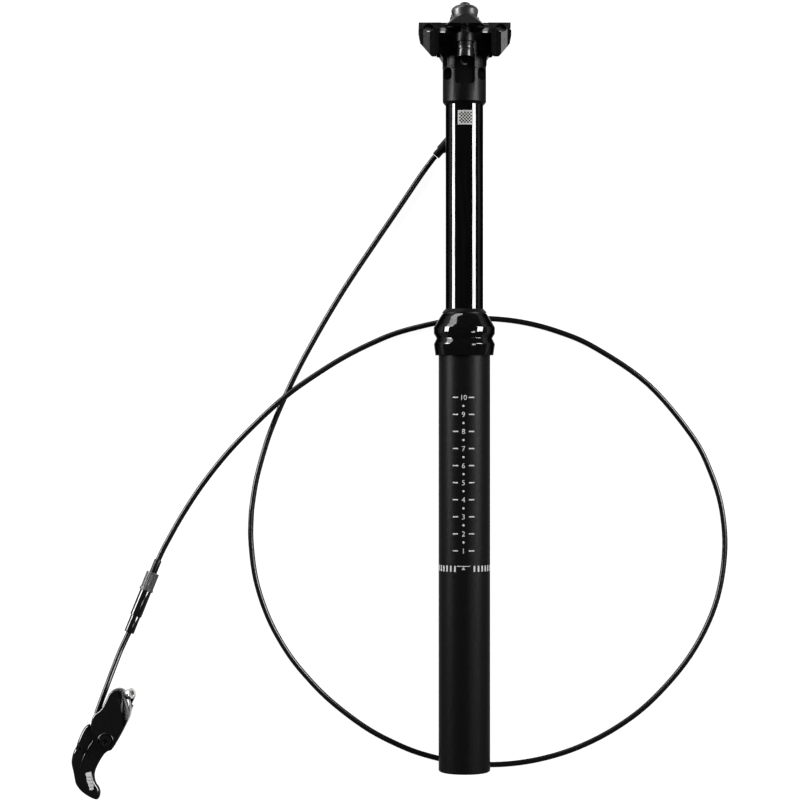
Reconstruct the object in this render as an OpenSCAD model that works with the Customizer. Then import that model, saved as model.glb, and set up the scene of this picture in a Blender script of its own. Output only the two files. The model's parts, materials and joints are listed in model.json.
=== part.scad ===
// Dropper seatpost with an external cable and a thumb remote.
// The post lies along +Y with the saddle head at +Y and its front facing +Z.

/* [Outer tube] */
// Outside diameter, the size of the seat tube it fits (mm)
tube_d = 31.6; // [30.9:0.1:34.9]
// Wall thickness of the outer tube (mm)
tube_wall = 1.9; // [1.5:0.1:2.5]
// Height of the collar's lower edge above the tube's foot (mm)
tube_len = 253.6; // [200:0.1:300]
// Chamfer at the foot of the tube (mm)
tube_chamfer = 0.6; // [0.2:0.1:1.5]
// Width of the three inner key grooves (mm)
groove_w = 4.2; // [3:0.1:6]

/* [Collar] */
// Largest diameter of the collar (mm)
collar_d = 37.5; // [34:0.1:44]
// Diameter at the bottom of the collar's V groove (mm)
collar_groove_d = 34.1; // [30:0.1:38]
// Diameter at the collar's mouth (mm)
collar_mouth_d = 27.6; // [25:0.1:32]

/* [Stanchion] */
// Outside diameter of the sliding tube (mm)
stanchion_d = 23.1; // [20:0.1:28]
// Wall thickness of the sliding tube (mm)
stanchion_wall = 1.75; // [1.2:0.05:2.5]
// Height of the saddle head's lower edge (mm)
head_y = 406.7; // [350:0.1:460]
// Radial running clearance of the sliding pieces (mm)
run_gap = 0.05; // [0.02:0.01:0.1]

/* [Saddle head] */
// Diameter of the head's round body (mm)
head_d = 26.6; // [24:0.1:32]
// Height of the rail clamp's tilt axis above the head's lower edge (mm)
tilt_h = 49.3; // [44:0.1:56]
// Radius of the curved cradle seat (mm)
seat_r = 20; // [16:0.1:26]
// Lean of each clamp bolt from the post axis (degrees)
bolt_lean = 10; // [0:1:15]
// Thread diameter of the clamp bolts (mm)
bolt_d = 6; // [5:0.5:7]
// Diameter of the barrel nuts (mm)
nut_d = 10; // [8:0.5:12]

/* [Rail clamp] */
// Saddle rail diameter (mm)
rail_d = 7; // [7:0.1:9]
// Distance between the two saddle rails (mm)
rail_gap = 44; // [43:0.5:45]
// Depth of the saddle rails below the tilt axis (mm)
rail_drop = 4.1; // [2:0.1:8]
// Overall width of the cradle (mm)
cradle_w = 56; // [50:0.5:64]
// Length of the cradle along the rails (mm)
cradle_len = 44; // [32:0.5:48]

/* [Cable] */
// Outside diameter of the cable housing (mm)
hose_d = 3.4; // [3:0.1:5]
// Diameter of the inner wire (mm)
wire_d = 1.2; // [1:0.1:1.6]
// Diameter of the boot behind the stanchion (mm)
boot_d = 6.2; // [5:0.1:8]
// Diameter of the adjuster knob (mm)
knob_d = 8.6; // [7:0.1:11]

/* [Remote] */
// Handlebar diameter (mm)
bar_d = 22.2; // [22.2:0.1:31.8]
// Outside diameter of the bar clamp (mm)
ring_d = 27.4; // [26:0.1:38]
// Width of the bar clamp along the bar (mm)
ring_w = 9.5; // [6:0.5:14]
// Diameter of the lever's pivot bolt (mm)
pivot_d = 4; // [3:0.5:6]

/* [Hidden] */
$fn = 64;
tiny = 0.01;

black = [0.05, 0.05, 0.055];
satin = [0.09, 0.09, 0.095];
steel = [0.7, 0.7, 0.72];
brass = [0.75, 0.6, 0.3];
alloy = [0.62, 0.63, 0.65];
rubber = [0.03, 0.03, 0.03];
polymer = [0.2, 0.2, 0.22];

// Tube stack
tube_r = tube_d / 2;
bore_r = tube_r - tube_wall;
neck_r = tube_r - 0.7;
neck_h = 12.4;
neck_top = tube_len + neck_h;
foot_bore_r = bore_r + 0.5;
foot_bore_y = 14;
foot_bolt_d = 5;
foot_thread = 8;
cap_y = 4;
ring_h = 1.4;
ring_groove_r = bore_r + 0.9;
groove_r = bore_r + 1;
groove_lo = 90;
groove_end = 37.6;
groove_hi = tube_len - groove_end;
oring_r = 0.7;
oring_up = 2.4;
oring_y = tube_len + oring_up;
bush_depth = 27.6;
bush_lo = tube_len - bush_depth;

// Sliding tube and cartridge
st_r = stanchion_d / 2;
st_in_r = st_r - stanchion_wall;
top_out = 11;
st_neck_h = 19;
st_lo = bush_lo - top_out - st_neck_h;
st_neck_r = st_r - 0.55;
st_neck_hi = st_lo + st_neck_h;
st_top_h = 11.3;
st_top = head_y + st_top_h;
snap_r = st_neck_r - 0.6;
snap_h = 1.2;
snap_lo = st_lo + 1;
snap_hi = snap_lo + snap_h;
key_w = groove_w - 0.2;
key_h = 10;
key_lo = st_lo + 5;
key_hi = key_lo + key_h;
key_in_r = st_neck_r + 0.1;
gland_h = 10;
gland_hi = st_lo + gland_h;
piston_lo = gland_hi + 2;
piston_h = 10;
rod_r = 4;
cyl_r = st_in_r - 0.3;
cyl_wall = 1.5;
cyl_in_r = cyl_r - cyl_wall;
valve_h = 10;
valve_hi = st_top - 6;
cyl_top = valve_hi - valve_h;
plunger_r = 1.5;
plunger_in = 14;
plunger_lo = valve_hi - plunger_in;
plunger_up = 8.2;
plunger_hi = valve_hi + plunger_up;

// Collar profile, step by step from its lower edge
col_low_r = collar_d / 2 - 0.95;
col_wide_h = 7;
col_vee_lo_h = 3.5;
col_vee_hi_h = 2.9;
col_band_h = 3.7;
col_cone_h = 8.3;
col_wide_y = tube_len + col_wide_h;
col_groove_y = col_wide_y + col_vee_lo_h;
col_band_y = col_groove_y + col_vee_hi_h;
col_cone_y = col_band_y + col_band_h;
col_top_y = col_cone_y + col_cone_h;
col_flange_h = 2;
col_flange_y = neck_top + col_flange_h;
col_floor_h = 2.5;
col_pocket_y = col_flange_y + col_floor_h;
col_pocket_r = st_r + 1.35;
lip_h = 0.9;
lip_y = col_top_y + lip_h;
lip_taper = 2.1;
lip_top = lip_y + lip_taper;

// Saddle head
head_r = head_d / 2;
head_h = 27.3;
head_top = head_y + head_h;
head_chamfer = 1.7;
tilt_y = head_y + tilt_h;
shoulder_x = 15.5;
shoulder_h = 3.5;
seat_h = 7;
seat_z = 10;
seat_slab = 9.2;
nut_t = 11.2;
nut_y = tilt_y + nut_t * sin(bolt_lean);
nut_z = nut_t * cos(bolt_lean);
nut_len = 15;
ear_r = 5.9;
ear_neck_r = 5.1;
ear_hi = 10.2;
ear_step = 15.4;
ear_lo = 18.5;
apron_x = 11;
apron_top = ear_r - 0.9;
apron_z = 14.6;
apron_drop = [9, 22.5, 28];
apron_hi = tilt_y - apron_drop[0];
apron_mid = tilt_y - apron_drop[1];
apron_lo = tilt_y - apron_drop[2];
bolt_head_r = 5;
bolt_head_h = 5;
bolt_tip = 9.8;
bolt_tip_cut = 0.6;
washer_r = 5.2;
washer_h = 1.2;
socket_flats = 5;
socket_h = 2.8;
pocket_r = 5.6;
pocket_deep = 9;
relief_w = 12.1;
relief_lo = head_y + 11.8;
relief_len = 17.5;
relief_hi = relief_lo + relief_len;
relief_z = 10.6;
relief_round = 2.5;
pocket_x = 10.3;
pocket_half = 2.35;
pocket_lo = head_y + 16.8;
pocket_hi = pocket_lo + 2.6;
pocket_z = 4;
slot_w = 6.4;
slot_lo = st_top + 0.4;
slot_end = 24.3;
slot_hi = head_y + slot_end;
boss_w = 11;
boss_lo = head_y - 2.7;
boss_hi = head_y + 21.3;
boss_floor = head_y + 7.3;
boss_z = 19.4;
entry_z = -15.8;
entry_hi = head_y + 0.8;
wire_hole_l = 10;
cut_l = 60;

// Rocker
rock_y = head_y + 19.8;
rock_z = 6.5;
rock_w = 5.6;
rock_hub_r = 3.4;
rock_pin_r = 1.5;
rock_pin_len = 15;
rock_nose_r = 2;
rock_drop = 4;
rock_nose_y = rock_y - rock_drop;
rock_arm_lo = rock_y - rock_drop;
rock_arm_h = 4;
rock_end = -17.6;
nipple_r = 1.9;
nipple_z = -15.4;
nipple_y = rock_y - 2;

// Rail clamp
rail_y = tilt_y - rail_drop;
wing_in = 15.9;
wing_out = cradle_w / 2;
wing_top = rail_y - 1.3;
wing_drop = 22.7;
wing_lo = tilt_y - wing_drop;
wing_toe = [1.8, 2.7];
wing_foot = 4.2;
wing_cut = [1, 7.7];
wing_edge = 12.7;
wing_rise = 8.8;
wing_rim = 1;
facet_in = [2.3, 1.5];
facet_mid = 5.6;
facet_out = [2.6, 2];
facet_end = [6, 6.5];
saddle_z = 6.2;
saddle_top = tilt_y - 5.7;
seat_gap = 0.08;
arm_lo = rail_y + 1.2;
arm_t = 3.2;
arm_hi = arm_lo + arm_t;
arm_front = 7;
arm_back = -12;
arm_tail = -23;
arm_in = 15;
bridge_z = 9;
bridge_x = 8.9;
bridge_h = 6.4;
bell_r = 8.6;
bell_top = 7.4;
bell_round = 3.6;
bell_flare = 1.2;
bell_foot = 5.2;
bell_foot_r = 12.2;
bell_front = 19.5;
nut_bore = nut_d / 2 + 0.25;
nut_bore_l = 2 * arm_in - 1;
nut_hole_r = bolt_d / 2 + 0.25;
lug_slot_w = bolt_d + 0.8;
lug_slot_l = bolt_d + 2.6;

// Small clearances, key sizes and steps that several pieces share
free_gap = 0.4;
plunger_gap = 0.5;
lip_rim = 0.3;
lip_tip = 0.2;
key_turns = [0, 120, 240];
snap_w = 1.6;
snap_gap = 4;
snap_cut = 5;
foot_head_k = 0.85;
foot_key_k = 0.8;
seat_sink = 4;
bell_step = 15;
bell_lip = 0.5;
bell_drop = 2;
rock_hole_l = 3;
small_fn = 16;
boot_sides = 12;
boot_fit = 0.02;
hose_gap = 0.25;
knob_step = 0.6;
flute_lo = 1.2;
flute_end = 1.6;
bar_key = 3;
pivot_key = 3;
pivot_key_floor = 0.4;
anchor_key = 2;

// Cable route, from the boot in the head to the remote
boot_pts = [[0, 408, -15.8], [0, 403, -15.8], [-0.6, 399, -16], [-2.6, 395, -16.4], [-6, 390.5, -17],
    [-10, 385.8, -17.4], [-14.2, 381, -17.4]];
boot_end = boot_pts[6];
head_pts = [[-17, 377.8, -17.8], [-26.5, 365.5, -18.8], [-39.6, 346.1, -18.8], [-55.5, 322.8, -18.8],
    [-71.8, 298.5, -18.8], [-84.3, 278.2, -18.8], [-95.9, 257.8, -18.8], [-103.1, 244.2, -18.8],
    [-110.3, 229.2, -18.8], [-116.9, 214, -18.8], [-122.4, 198.9, -18.8], [-128.4, 177.1, -18.8],
    [-131.4, 158.3, -18.8]];
loop_pts = [[-131.4, 158.3, -18.8], [-131.8, 139.6, -18.8], [-128.7, 115.1, -18.8], [-120.9, 91.4, -18.8],
    [-109.8, 71.1, -18.8], [-97.9, 55.7, -18.8], [-82.2, 39.8, -18.8], [-60.7, 23.5, -18.8],
    [-40.8, 12.9, -18.8], [-23.4, 6.4, -18.8], [-1, 1.6, -18.8], [22.6, 0.6, -18.8], [46.9, 3.8, -18.8],
    [71.2, 11.3, -18.8], [95.5, 23.9, -18.8], [117.7, 41.3, -18.8], [140.5, 68.2, -18.8],
    [155.7, 98.7, -18.8], [161.7, 130.3, -18.8], [160.1, 158.1, -18.8], [153, 182, -18.8],
    [141.1, 204.8, -18.8], [114.2, 236.3, -18.8], [81.8, 258.6, -18.8], [58.8, 268.7, -18.8],
    [34.8, 274.9, -18.8], [10, 277, -18.8], [-11, 275.3, -18.8], [-38.7, 268.8, -18.8], [-57.1, 261.5, -18.4],
    [-75.4, 252.1, -17.2], [-93.4, 240.7, -15.6], [-109.9, 228.8, -14.7], [-127, 213.4, -15.4],
    [-145.1, 194.8, -16.6], [-160.9, 175.1, -16.8], [-173.8, 155.6, -15.8], [-184.4, 136.6, -14.2],
    [-188.7, 127.6, -13.4]];
adj_a = loop_pts[38];
adj_b = [-205.9, 83.6, -6];
lever_pts = [adj_b, [-210.4, 73.5, -2.6], [-214.2, 63, 2.2], [-217.3, 53.8, 7], [-220.4, 44.9, 9.7],
    [-223.4, 36, 12.3]];
adj_vec = adj_b - adj_a;
adj_len = norm(adj_vec);
ferrule_l = 8.5;
ferrule_r = 2.3;
knob_l = 11.8;
sleeve_l = 16.6;
sleeve_r = 3.6;
tail_r = 3.05;
knob_flutes = 16;
knob_lip = 1.6;
hose_sides = 8;
hose_steps = 2;
head_ferrule_l = 4.6;
head_ferrule_r = 2.5;

// Remote
ring_c = [-213.4, 28.4, -6.9];
ring_turn = -25.5;
lug_out = 19;
lug_h = 10;
lug_w = 7;
split_w = 1.6;
bar_bolt_r = 2;
bar_bolt_x = 16.2;
bar_bolt_head_r = 3.2;
bar_bolt_head_h = 2.6;
pad_lo = -7;
pad_hi = 13;
pod_lo = 7;
pod_mid_lo = 9.2;
pod_mid_hi = 15.4;
pod_hi = 17.6;
lever_lo = 9.5;
lever_hi = 15.1;
paddle_lo = 4;
pivot_c = [-217.4, 20.2, 0];
bush_r = 3.2;
bush_end = 0.2;
pivot_head_r = 3.6;
pivot_head_h = 1.8;
lever_outline = [[-227.2, 27], [-227.4, 30.4], [-230.6, 28.3], [-232.5, 24.8], [-234.1, 21.1],
    [-235, 18.6], [-235.5, 16.4], [-237.4, 13.3], [-238.6, 8.2], [-238.4, 4.9], [-237.4, 1.2],
    [-236.3, -5.3], [-235.5, -7.2], [-232.7, -10.9], [-228.1, -14.1], [-224, -15.9], [-222.2, -15.6],
    [-221.1, -13.2], [-221.2, -10], [-222.3, -7.9], [-223.6, -6.2], [-224.3, -4.4], [-224.8, -1.1],
    [-224.1, 2.2], [-222.4, 5.8], [-220.2, 9.6], [-218, 12.6], [-214.4, 14.6], [-211.2, 18],
    [-211.2, 22.4], [-214.4, 25.8], [-219, 26.6]];
paddle_outline = [[-236.2, 4.4], [-235.6, 1], [-234.4, -5], [-233.6, -6.6], [-231.2, -9.6],
    [-227.2, -12.4], [-224.6, -13.5], [-224, -11.2], [-224.4, -9.4], [-226, -7.2], [-226.8, -4.4],
    [-227.2, -0.8], [-226.6, 2.6], [-225.8, 4.4]];
pod_outline = [[-220.6, 38.6], [-217.4, 44.6], [-215, 50], [-209.8, 52], [-205.4, 49.6], [-203.4, 44],
    [-202.4, 38.6], [-203.2, 33.5], [-213, 15.6], [-214.6, 14.2], [-216.6, 14], [-218.4, 15.2],
    [-221.3, 19.7], [-224.3, 23.6], [-226.8, 26.9], [-226.2, 31.8], [-224.9, 36.2]];
spine_outline = [[-220.6, 38.6], [-217.4, 44.6], [-215, 50], [-209.8, 52], [-205.4, 49.6],
    [-203.4, 44], [-202.4, 38.6], [-203.2, 33.5], [-208.8, 23.4], [-210.4, 28.4], [-226.7, 28.4],
    [-226.2, 31.8], [-224.9, 36.2]];
pod_slope_at = [-208.5, 40, 17.6];
pod_slope_turn = 8;
pod_slope = 24;
stop_bore = 12;
stop_end = lever_pts[5];
stop_vec = lever_pts[4] - lever_pts[5];
anchor_c = [-233.2, 15.4, 0];
anchor_r = 1.25;
anchor_head_r = 2.2;
anchor_head_h = 1.5;
anchor_lo = 10.5;
wire_vec = [anchor_c[0] - stop_end[0], anchor_c[1] - stop_end[1]];
wire_span = norm(wire_vec);
wire_turn = atan2(wire_vec[1], wire_vec[0]);
wire_slot_w = 2.2;
wire_slot_lo = 11.2;
pod_bolt_c = [-201.4, 49.2, 16.6];
pod_bolt_turn = 20;
pod_bolt_tip = 53;
pod_bolt_r = 2;
pod_bolt_l = 8;
pod_bolt_head_r = 3.1;
pod_bolt_head_h = 3.8;
pod_key = 3;
pod_seat_r = pod_bolt_head_r + 0.2;
pod_hole_l = pod_bolt_head_h + pod_bolt_l + 0.6;
grip_outline = [[-229.8, 0.6], [-226.4, 1.4], [-225.4, -3], [-224.6, -7.6], [-226.9, -9.6], [-228.8, -4.8]];
grip_lo = 14;
grip_hi = 15.3;
grip_ribs = 5;
grip_rib_h = 0.5;
spring_turns = 2;
spring_r = 4.6;
spring_wire = 0.9;
spring_pitch = 1.35;
spring_lo = 11.65;
spring_seat_lo = 11.2;
spring_seat_r = 5.6;
spring_sides = 6;
spring_rings = 8;
spring_leg_hi = 16.6;
spring_leg_lo = 10;
spring_leg_r = 0.55;
coil_n = spring_turns * spring_rings;
coil = [for (k = [0:coil_n]) coil_point(360 * k / spring_rings, spring_lo + spring_pitch * k / spring_rings)];
coil_path = concat([coil_point(0, spring_leg_lo)], coil, [coil_point(0, spring_leg_hi)]);
coil_gap = min([for (k = [0:coil_n - spring_rings]) norm(coil[k + spring_rings] - coil[k])]) - spring_wire;

function unit(v) = v / norm(v);
function cross3(a, b) = [a[1] * b[2] - a[2] * b[1], a[2] * b[0] - a[0] * b[2], a[0] * b[1] - a[1] * b[0]];
function clampi(i, n) = max(0, min(n - 1, i));
function spline_at(p, i, t) =
    let (a = p[clampi(i - 1, len(p))], b = p[i], c = p[clampi(i + 1, len(p))], d = p[clampi(i + 2, len(p))])
    0.5 * ((2 * b) + (c - a) * t + (2 * a - 5 * b + 4 * c - d) * t * t + (3 * b - a - 3 * c + d) * t * t * t);
function smooth_path(p, steps) =
    concat([for (i = [0:len(p) - 2]) for (k = [0:steps - 1]) spline_at(p, i, k / steps)], [p[len(p) - 1]]);
function tangent(p, i) = unit(p[clampi(i + 1, len(p))] - p[clampi(i - 1, len(p))]);
function side_of(t) = unit(cross3(t, abs(t[2]) > 0.9 ? [1, 0, 0] : [0, 0, 1]));
function ring_points(c, t, r, sides) =
    let (u = side_of(t), v = cross3(u, t))
    [for (k = [0:sides - 1]) c + r * (u * cos(360 * k / sides) + v * sin(360 * k / sides))];
function path_len(p) = len(p) < 2 ? 0 : norm(p[1] - p[0]) + path_len([for (i = [1:len(p) - 1]) p[i]]);

// Round bar swept along a list of points
module tube_along(p, r, sides) {
    n = len(p);
    points = [for (i = [0:n - 1]) each ring_points(p[i], tangent(p, i), r, sides)];
    walls = [for (i = [0:n - 2]) for (k = [0:sides - 1])
        [i * sides + k, i * sides + (k + 1) % sides, (i + 1) * sides + (k + 1) % sides, (i + 1) * sides + k]];
    first = [[for (k = [0:sides - 1]) sides - 1 - k]];
    last = [[for (k = [0:sides - 1]) (n - 1) * sides + k]];
    polyhedron(points = points, faces = concat(walls, first, last), convexity = 10);
}

// Turns local Z onto the post axis
module along_y() {
    rotate([-90, 0, 0]) children();
}

// Turns local Z onto X
module along_x() {
    rotate([0, 90, 0]) children();
}

module ring_y(r_out, r_in, lo, hi) {
    along_y() rotate_extrude() translate([r_in, lo]) square([r_out - r_in, hi - lo]);
}

module rod_y(r, lo, hi) {
    translate([0, lo, 0]) along_y() cylinder(r = r, h = hi - lo);
}

module rod_x(r, len, y, z) {
    translate([-len / 2, y, z]) along_x() cylinder(r = r, h = len);
}

// Local +Z runs down one clamp bolt, from its barrel nut; side is 1 at the front and -1 at the rear
module at_bolt(side) {
    translate([0, nut_y, side * nut_z]) rotate([90 + side * bolt_lean * -1, 0, 0]) children();
}

// Local +Z runs along the adjuster from the loop to the remote
module at_adjuster() {
    translate(adj_a)
        rotate([0, acos(adj_vec[2] / adj_len), atan2(adj_vec[1], adj_vec[0])]) children();
}

// Local Z runs along the handlebar, local X points away from the rider's side lug, local Y is up
module at_bar() {
    translate(ring_c) rotate([0, 0, ring_turn]) rotate([90, 0, 90]) children();
}

module outer_tube() {
    color(satin) difference() {
        along_y() rotate_extrude() polygon([[bore_r, foot_bore_y], [foot_bore_r, foot_bore_y],
            [foot_bore_r, cap_y], [ring_groove_r, cap_y], [ring_groove_r, cap_y - ring_h],
            [foot_bore_r, cap_y - ring_h], [foot_bore_r, -tube_chamfer],
            [tube_r - tube_chamfer, -tube_chamfer],
            [tube_r, 0], [tube_r, tube_len], [neck_r, tube_len], [neck_r, oring_y - oring_r],
            [neck_r - oring_r, oring_y - oring_r], [neck_r - oring_r, oring_y + oring_r],
            [neck_r, oring_y + oring_r], [neck_r, neck_top], [bore_r, neck_top]]);
        for (a = key_turns)
            rotate([0, a, 0]) translate([-groove_w / 2, groove_lo, 0])
                cube([groove_w, groove_hi - groove_lo, groove_r]);
    }
}

module collar() {
    color(black) along_y() rotate_extrude() polygon([[neck_r, tube_len], [col_low_r, tube_len],
        [collar_d / 2, col_wide_y], [collar_groove_d / 2, col_groove_y], [collar_d / 2, col_band_y],
        [collar_d / 2, col_cone_y], [collar_mouth_d / 2, col_top_y], [col_pocket_r, col_top_y],
        [col_pocket_r, col_pocket_y], [st_r + free_gap, col_pocket_y], [st_r + free_gap, col_flange_y],
        [neck_r, col_flange_y]]);
}

module wiper_seal() {
    color(rubber) along_y() rotate_extrude() polygon([[st_r + run_gap, col_pocket_y],
        [col_pocket_r, col_pocket_y], [col_pocket_r, col_top_y], [col_pocket_r + lip_rim, col_top_y],
        [col_pocket_r + lip_rim, lip_y], [collar_mouth_d / 2, lip_y], [st_r + run_gap + lip_tip, lip_top],
        [st_r + run_gap, lip_top]]);
}

module upper_bush() {
    color(polymer) along_y() rotate_extrude() polygon([[st_r + run_gap, bush_lo], [bore_r, bush_lo],
        [bore_r, neck_top], [neck_r, neck_top], [neck_r, col_flange_y], [st_r + run_gap, col_flange_y]]);
}

module neck_oring() {
    color(rubber) along_y() translate([0, 0, oring_y]) rotate_extrude()
        translate([neck_r - oring_r, 0]) intersection() {
            circle(r = oring_r);
            translate([0, -oring_r]) square(2 * oring_r);
        }
}

module bottom_cap() {
    color(alloy) difference() {
        rod_y(foot_bore_r, cap_y, foot_bore_y);
        rod_y(foot_bolt_d / 2, cap_y - 1, foot_bore_y + 1);
    }
}

module cap_ring() {
    color(steel) difference() {
        ring_y(ring_groove_r, foot_bore_r - snap_w, cap_y - ring_h, cap_y);
        translate([-snap_gap / 2, cap_y - 2 * ring_h, -ring_groove_r - 1])
            cube([snap_gap, 3 * ring_h, snap_cut]);
    }
}

module bumper() {
    bumper_r = 9;
    color(rubber) ring_y(bumper_r, rod_r, foot_bore_y, foot_bore_y + foot_thread);
}

module foot_bolt() {
    head_lo = 0.4;
    key_deep = 2;
    color(steel) difference() {
        union() {
            rod_y(foot_bolt_d * foot_head_k, head_lo, cap_y);
            rod_y(foot_bolt_d / 2, cap_y - tiny, foot_bore_y + foot_thread);
        }
        translate([0, head_lo - 1, 0]) along_y()
            cylinder(d = foot_bolt_d * foot_key_k / cos(30), h = key_deep + 1, $fn = 6);
    }
}

module piston_rod() {
    color(steel) difference() {
        rod_y(rod_r, foot_bore_y, piston_lo);
        rod_y(foot_bolt_d / 2, foot_bore_y - 1, foot_bore_y + foot_thread);
    }
}

module piston() {
    ring_lo = piston_lo + 3;
    ring_w = 2;
    color(polymer) difference() {
        rod_y(cyl_in_r - run_gap, piston_lo, piston_lo + piston_h);
        ring_y(cyl_in_r + 1, cyl_in_r - 1, ring_lo, ring_lo + ring_w);
    }
}

module stanchion() {
    color(black) along_y() rotate_extrude() polygon([[st_in_r, st_lo], [st_neck_r, st_lo],
        [st_neck_r, snap_lo], [snap_r, snap_lo], [snap_r, snap_hi], [st_neck_r, snap_hi],
        [st_neck_r, st_neck_hi], [st_r, st_neck_hi],
        [st_r, st_top], [st_in_r, st_top]]);
}

module lower_bush() {
    color(polymer) difference() {
        ring_y(bore_r - run_gap, st_neck_r, snap_hi, st_neck_hi);
        for (a = key_turns)
            rotate([0, a, 0]) translate([-key_w / 2, key_lo, key_in_r])
                cube([key_w, key_hi - key_lo, groove_r]);
    }
}

module guide_keys() {
    key_out = groove_r - 0.2;
    color(brass) for (a = key_turns)
        rotate([0, a, 0]) translate([-key_w / 2, key_lo, key_in_r])
            cube([key_w, key_hi - key_lo, key_out - key_in_r]);
}

module snap_ring() {
    ring_out = st_r + 1.05;
    color(steel) difference() {
        ring_y(ring_out, snap_r, snap_lo, snap_hi);
        translate([-snap_gap / 2, snap_lo - 1, -ring_out - 1])
            cube([snap_gap, snap_hi - snap_lo + 2, snap_cut + 1]);
    }
}

module rod_gland() {
    flange_r = st_neck_r - 0.1;
    flange_h = 2;
    color(alloy) along_y() rotate_extrude() polygon([[rod_r + run_gap, st_lo - flange_h],
        [flange_r, st_lo - flange_h], [flange_r, st_lo], [st_in_r, st_lo], [st_in_r, gland_hi],
        [rod_r + run_gap, gland_hi]]);
}

module cartridge_tube() {
    color(alloy) ring_y(cyl_r, cyl_in_r, gland_hi, cyl_top);
}

module valve_head() {
    spigot_lo = cyl_top - 6;
    color(brass) difference() {
        union() {
            rod_y(cyl_r, cyl_top, valve_hi);
            rod_y(cyl_in_r, spigot_lo, cyl_top);
        }
        rod_y(plunger_r + run_gap, spigot_lo - 1, valve_hi + 1);
    }
}

module plunger() {
    color(steel) rod_y(plunger_r, plunger_lo, plunger_hi);
}

// Outline of the key relief, flat at its foot with rounded corners
module relief_shape() {
    translate([-relief_w / 2, relief_lo + relief_round])
        square([relief_w, relief_hi - relief_lo - relief_round]);
    translate([-relief_w / 2 + relief_round, relief_lo])
        square([relief_w - 2 * relief_round, relief_round + 1]);
    for (s = [-1, 1])
        translate([s * (relief_w / 2 - relief_round), relief_lo + relief_round]) circle(r = relief_round);
}

module pocket_shape() {
    translate([-pocket_half, pocket_lo]) square([2 * pocket_half, pocket_hi - pocket_lo]);
    for (y = [pocket_lo, pocket_hi]) translate([0, y]) circle(r = pocket_half);
}

// One bolt ear with the apron that carries it
module ear(side) {
    at_bolt(side) {
        translate([0, 0, ear_hi]) cylinder(r = ear_r, h = ear_step - ear_hi);
        translate([0, 0, ear_step - tiny]) cylinder(r = ear_neck_r, h = ear_lo - ear_step + tiny);
    }
    intersection() {
        rod_y(apron_z, apron_lo - 1, apron_hi + 1);
        translate([0, 0, side > 0 ? 0 : -apron_z]) linear_extrude(height = apron_z)
            polygon([[-apron_top, apron_hi], [apron_top, apron_hi], [apron_x, apron_mid], [apron_x, apron_lo],
                [-apron_x, apron_lo], [-apron_x, apron_mid]]);
    }
}

module saddle_head() {
    seat_top = head_top + seat_h;
    seat_mid = head_top + shoulder_h;
    seat_lo = head_top - seat_sink;
    wall = 0.35;
    color(satin) difference() {
        union() {
            along_y() rotate_extrude() polygon([[0, head_y], [st_r + wall, head_y],
                [head_r, head_y + head_chamfer], [head_r, head_top], [0, head_top]]);
            translate([0, 0, -seat_z]) linear_extrude(height = 2 * seat_z)
                polygon([[-head_r, seat_lo], [head_r, seat_lo], [head_r, head_top], [shoulder_x, seat_mid],
                    [shoulder_x, seat_top], [-shoulder_x, seat_top], [-shoulder_x, seat_mid],
                    [-head_r, head_top]]);
            for (s = [-1, 1]) ear(s);
            translate([-boss_w / 2, boss_lo, -boss_z])
                cube([boss_w, boss_hi - boss_lo, boss_z - st_r - wall]);
        }
        intersection() {
            rod_x(seat_r, cut_l, tilt_y, 0);
            translate([-cut_l / 2, tilt_y - seat_r, -seat_slab]) cube([cut_l, 2 * seat_r, 2 * seat_slab]);
        }
        ring_y(st_r, st_in_r, boss_lo - 1, st_top);
        rod_y(st_r, boss_lo - 1, valve_hi);
        rod_y(plunger_r + plunger_gap, valve_hi - 1, slot_lo + 1);
        translate([-slot_w / 2, slot_lo, -boss_z - 1])
            cube([slot_w, slot_hi - slot_lo, boss_z + 1 + rock_z + rock_hub_r + free_gap]);
        translate([-slot_w / 2, boss_floor, -boss_z - 1]) cube([slot_w, rock_y - boss_floor, boss_z - st_r]);
        translate([0, entry_hi, entry_z]) rotate([90, 0, 0]) cylinder(d = boot_d, h = wire_hole_l);
        translate([0, boss_floor + 1, entry_z]) rotate([90, 0, 0]) cylinder(r = wire_d, h = wire_hole_l);
        rod_x(rock_pin_r, cut_l, rock_y, rock_z);
        for (s = [-1, 1]) {
            at_bolt(s) cylinder(d = bolt_d, h = cut_l);
            at_bolt(s) translate([0, 0, ear_lo]) cylinder(r = pocket_r, h = pocket_deep);
        }
        translate([0, 0, relief_z]) linear_extrude(height = cut_l) relief_shape();
        for (s = [-1, 1])
            translate([s * pocket_x, 0, pocket_z]) linear_extrude(height = cut_l) pocket_shape();
    }
}

module clamp_bolts() {
    shank = bolt_tip + ear_lo + washer_h;
    color(steel) for (s = [-1, 1]) at_bolt(s) difference() {
        union() {
            translate([0, 0, -bolt_tip])
                cylinder(r1 = bolt_d / 2 - bolt_tip_cut, r2 = bolt_d / 2, h = bolt_tip_cut + tiny);
            translate([0, 0, bolt_tip_cut - bolt_tip]) cylinder(d = bolt_d, h = shank - bolt_tip_cut + tiny);
            translate([0, 0, ear_lo + washer_h]) cylinder(r = bolt_head_r, h = bolt_head_h);
        }
        translate([0, 0, ear_lo + washer_h + bolt_head_h - socket_h])
            cylinder(d = socket_flats / cos(30), h = socket_h + 1, $fn = 6);
    }
}

module bolt_washers() {
    color(steel) for (s = [-1, 1]) at_bolt(s) difference() {
        translate([0, 0, ear_lo]) cylinder(r = washer_r, h = washer_h);
        cylinder(d = bolt_d, h = cut_l);
    }
}

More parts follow.
